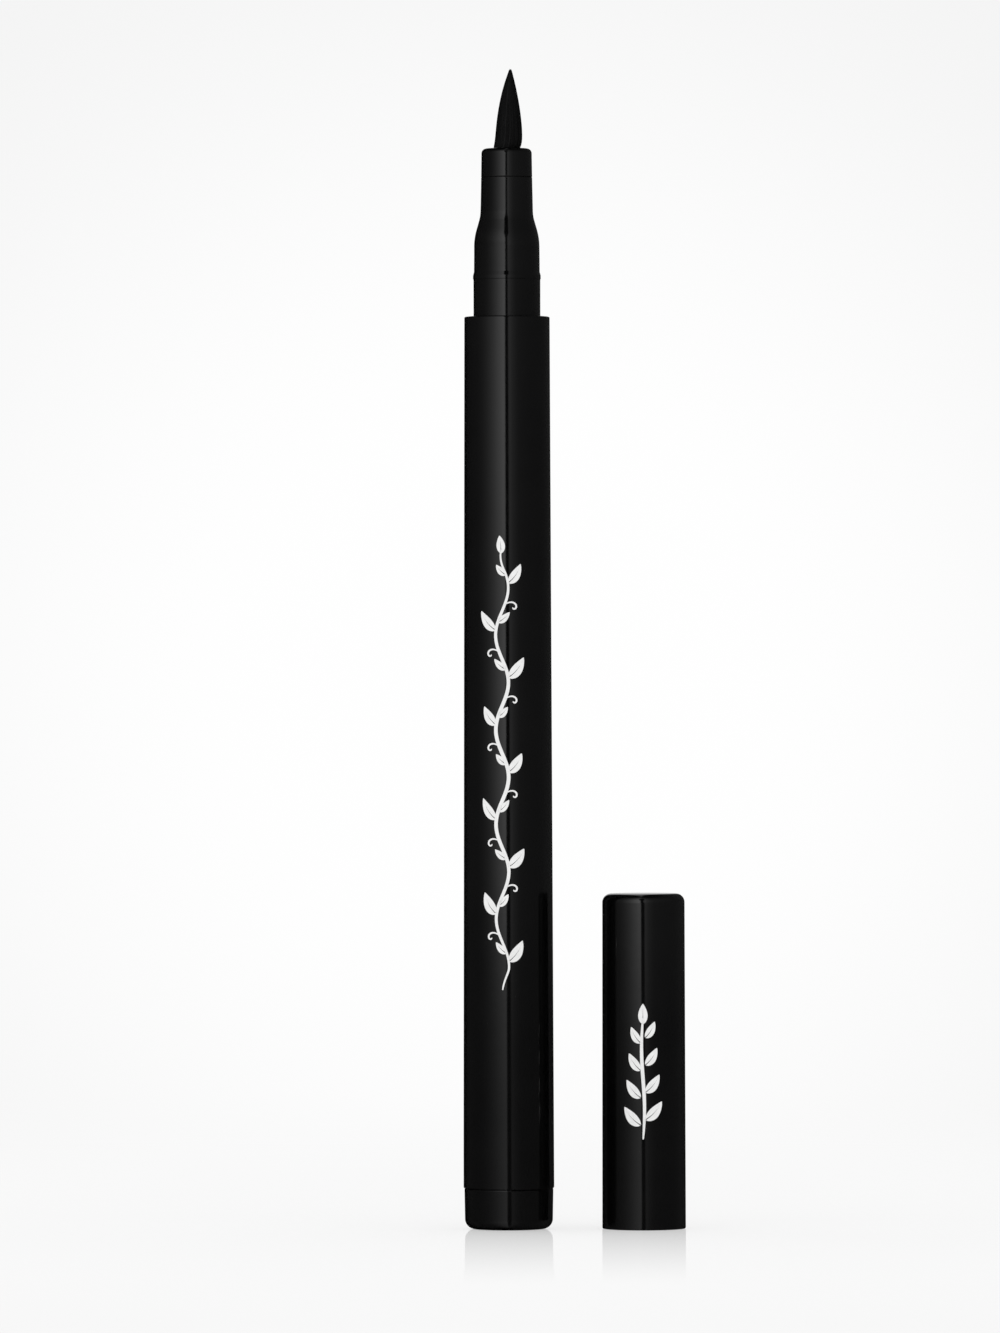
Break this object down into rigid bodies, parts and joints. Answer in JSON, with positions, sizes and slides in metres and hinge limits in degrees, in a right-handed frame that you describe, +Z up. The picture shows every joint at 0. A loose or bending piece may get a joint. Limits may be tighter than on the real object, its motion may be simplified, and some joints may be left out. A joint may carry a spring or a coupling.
{
  "type": "liquid eyeliner pen",
  "caption": "Slim round brush-tip liquid eyeliner pen that stands on its tail end, with its pulled-off cap standing beside it.",
  "frame": {"origin": "centre of the pen's flat foot, on the surface it stands on", "axes": "+Z up along the pen's axis towards the brush; +X towards the cap that stands beside it"},
  "size_m": [0.025, 0.0102, 0.1305],
  "materials": {
    "black_body": "high gloss",
    "black_neck": "gloss",
    "brush_fibre": "tapered bristles soaked in black ink",
    "natural_plastic": "natural, satin",
    "inked_fibre": "bonded fibre soaked in black ink",
    "soft_seal": "satin",
    "ball_steel": "polished",
    "spring_steel": "drawn wire"
  },
  "bodies": {
    "pen": {"barrel": "black_body", "tail_plug": "black_body", "tank_seal": "soft_seal", "collector_comb": "natural_plastic", "relay_core": "inked_fibre", "front_section": "black_neck", "tip_holder": "black_neck", "brush_tip": "brush_fibre", "brush_retainer": "natural_plastic"},
    "cap": {"cap_shell": "black_body", "cap_spring": "spring_steel"},
    "sprung_cap": {"inner_cap": "natural_plastic"},
    "left_ball": {"mixing_ball_left": "ball_steel"},
    "right_ball": {"mixing_ball_right": "ball_steel"}
  },
  "joints": [
    {"name": "cap_lift", "type": "slide", "parent": "pen", "child": "cap", "axis": [0, 0, 1], "range_m": [0, 0.135]},
    {"name": "inner_cap_press", "type": "slide", "parent": "cap", "child": "sprung_cap", "axis": [0, 0, 1], "range_m": [0, 0.0015], "stiffness_N_per_m": 450, "springref_m": -0.0015, "deforming": ["cap_spring"]},
    {"name": "left_ball_slide", "type": "slide", "parent": "pen", "child": "left_ball", "axis": [0, 0, 1], "range_m": [0, 0.0604]},
    {"name": "right_ball_slide", "type": "slide", "parent": "pen", "child": "right_ball", "axis": [0, 0, 1], "range_m": [0, 0.0604]}
  ]
}
